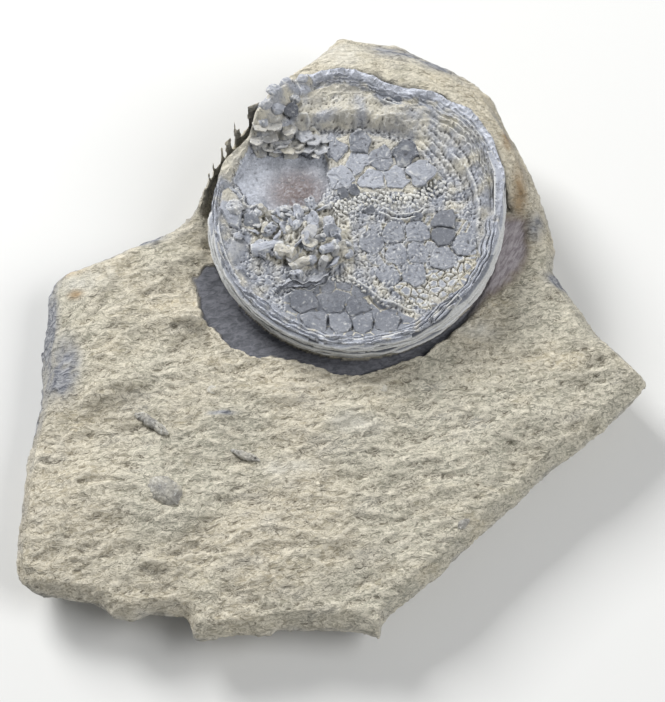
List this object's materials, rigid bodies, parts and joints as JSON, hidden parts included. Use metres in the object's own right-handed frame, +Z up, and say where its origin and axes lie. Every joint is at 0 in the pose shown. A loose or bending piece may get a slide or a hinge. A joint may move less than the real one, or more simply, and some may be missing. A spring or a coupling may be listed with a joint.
{
  "type": "fossil edrioasteroid",
  "caption": "Fossil edrioasteroid: a round grey-blue disc of small calcite plates with a layered rim and folded lip, set in a broken slab of cream mudstone",
  "frame": {"origin": "centre of the bounding box at its underside, on the surface that the slab lies on", "axes": "+Z up out of the slab's fossil-bearing face, +Y from the slab's broad end towards the disc, +X to the right when looking along +Y"},
  "size_m": [0.133, 0.137, 0.0309],
  "materials": {
    "mudstone": "rough broken mudstone, cream to grey",
    "plated_calcite": "matt blue-grey calcite plates dusted with mudstone",
    "layered_calcite": "matt grey calcite in thin stacked layers",
    "pale_calcite": "pale grey calcite, rough",
    "dark_shell": "dark grey fossil shell"
  },
  "bodies": {
    "root": {"bryozoan_twig_left": "dark_shell", "bryozoan_twig_middle": "dark_shell", "crinoid_ossicle_front": "pale_calcite", "crinoid_ossicle_left": "pale_calcite", "crinoid_ossicle_side": "pale_calcite", "loose_ossicle_1": "pale_calcite", "loose_ossicle_10": "pale_calcite", "loose_ossicle_11": "pale_calcite", "loose_ossicle_2": "pale_calcite", "loose_ossicle_3": "pale_calcite", "loose_ossicle_4": "pale_calcite", "loose_ossicle_5": "pale_calcite", "loose_ossicle_6": "pale_calcite", "loose_ossicle_7": "pale_calcite", "loose_ossicle_8": "pale_calcite", "loose_ossicle_9": "pale_calcite", "lower_ambulacrum": "pale_calcite", "lower_plate_1": "plated_calcite", "lower_plate_2": "plated_calcite", "lower_plate_3": "plated_calcite", "lower_plate_4": "plated_calcite", "lower_plate_5": "plated_calcite", "lower_plate_6": "plated_calcite", "lower_plate_7": "plated_calcite", "matrix_slab": "mudstone", "oral_surface": "plated_calcite", "peripheral_rim": "layered_calcite", "right_plate_1": "plated_calcite", "right_plate_10": "plated_calcite", "right_plate_11": "plated_calcite", "right_plate_2": "plated_calcite", "right_plate_3": "plated_calcite", "right_plate_4": "plated_calcite", "right_plate_5": "plated_calcite", "right_plate_6": "plated_calcite", "right_plate_7": "plated_calcite", "right_plate_8": "plated_calcite", "right_plate_9": "plated_calcite", "scale_plate_1": "pale_calcite", "scale_plate_2": "pale_calcite", "scale_plate_3": "pale_calcite", "scale_plate_4": "pale_calcite", "scale_plate_5": "pale_calcite", "shell_fragment_oval": "dark_shell", "shell_fragment_ribbed": "dark_shell", "upper_ambulacrum": "pale_calcite", "upper_plate_1": "plated_calcite", "upper_plate_2": "plated_calcite", "upper_plate_3": "plated_calcite", "upper_plate_4": "plated_calcite", "upper_plate_5": "plated_calcite", "upper_plate_6": "plated_calcite", "upper_plate_7": "plated_calcite", "upper_plate_8": "plated_calcite", "upper_plate_9": "plated_calcite"}
  },
  "joints": []
}
